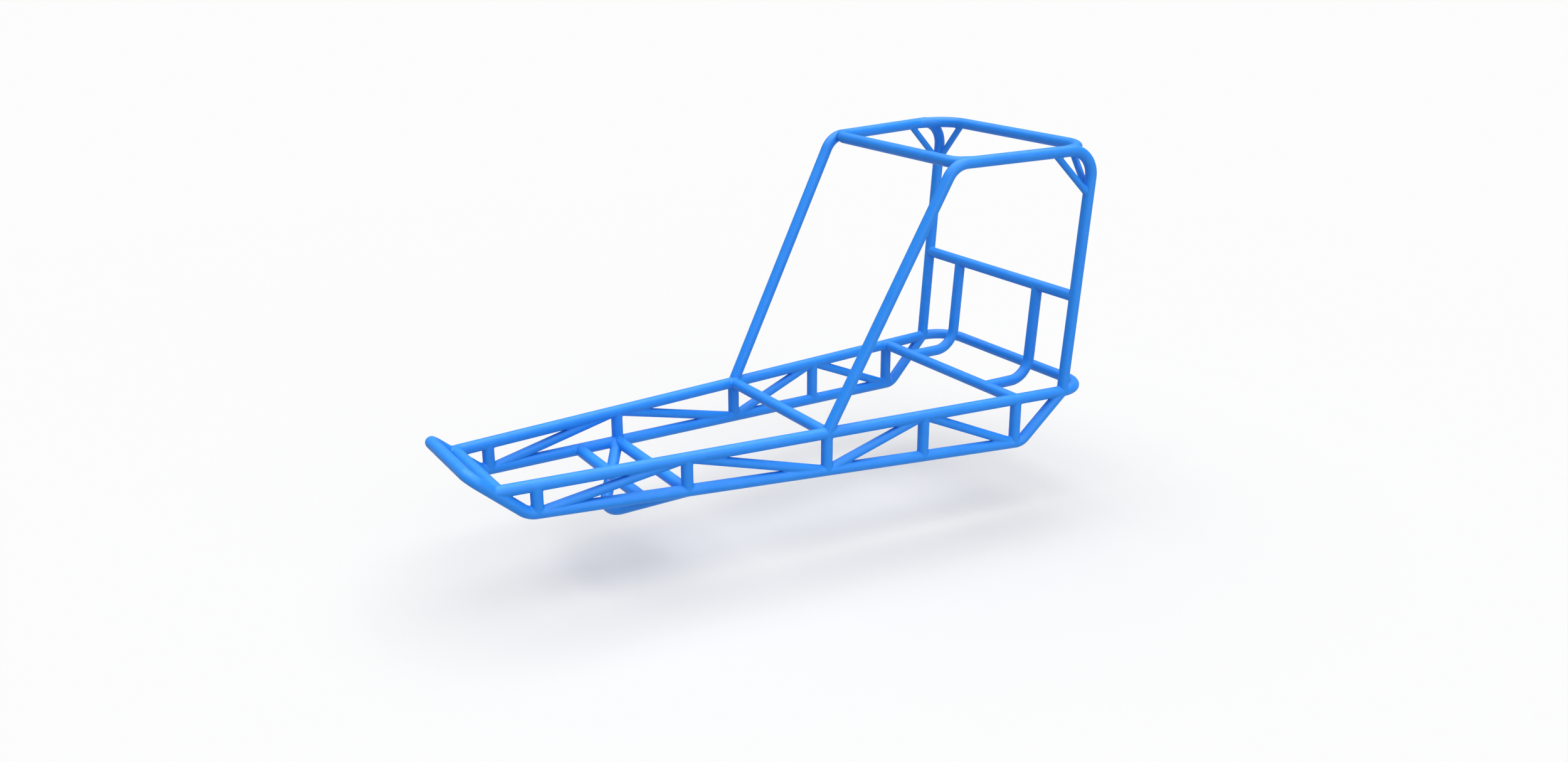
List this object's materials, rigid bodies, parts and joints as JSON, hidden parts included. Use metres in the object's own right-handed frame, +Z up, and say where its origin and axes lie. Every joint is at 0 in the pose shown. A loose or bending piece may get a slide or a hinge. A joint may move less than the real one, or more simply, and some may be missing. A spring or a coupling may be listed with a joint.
{
  "type": "kart chassis",
  "caption": "Welded tube frame of an off-road kart: tapered side trusses with diagonals, raised front bow, under hoop, seat-back tubes and a roll cage over the seat.",
  "frame": {"origin": "under the frame's centre, at its lowest point, the underside of the under hoop", "axes": "+X to the nose, +Y to the driver's left, +Z up"},
  "size_m": [1.843, 0.7008, 0.9134],
  "materials": {
    "blue_paint": "satin to gloss blue powder coat"
  },
  "bodies": {
    "root": {"front_bow": "blue_paint", "upper_loop": "blue_paint", "lower_rail_left": "blue_paint", "lower_rail_right": "blue_paint", "cage_hoop_left": "blue_paint", "cage_hoop_right": "blue_paint", "front_crossbar": "blue_paint", "roof_front_crossbar": "blue_paint", "roof_rear_crossbar": "blue_paint", "cockpit_crossbar": "blue_paint", "seat_crossbar": "blue_paint", "seat_back_crossbar": "blue_paint", "lower_crossbar_rear": "blue_paint", "lower_crossbar_front": "blue_paint", "upright_1_left": "blue_paint", "upright_1_right": "blue_paint", "upright_2_left": "blue_paint", "upright_2_right": "blue_paint", "upright_3_left": "blue_paint", "upright_3_right": "blue_paint", "upright_4_left": "blue_paint", "upright_4_right": "blue_paint", "upright_5_left": "blue_paint", "upright_5_right": "blue_paint", "under_hoop": "blue_paint", "diagonal_2_1_left": "blue_paint", "diagonal_2_1_right": "blue_paint", "diagonal_2_3_left": "blue_paint", "diagonal_2_3_right": "blue_paint", "diagonal_4_3_left": "blue_paint", "diagonal_4_3_right": "blue_paint", "diagonal_4_5_left": "blue_paint", "diagonal_4_5_right": "blue_paint", "seat_tube_left": "blue_paint", "seat_tube_right": "blue_paint", "roof_gusset_fore_left": "blue_paint", "roof_gusset_cross_left": "blue_paint", "roof_gusset_fore_right": "blue_paint", "roof_gusset_cross_right": "blue_paint"}
  },
  "joints": []
}
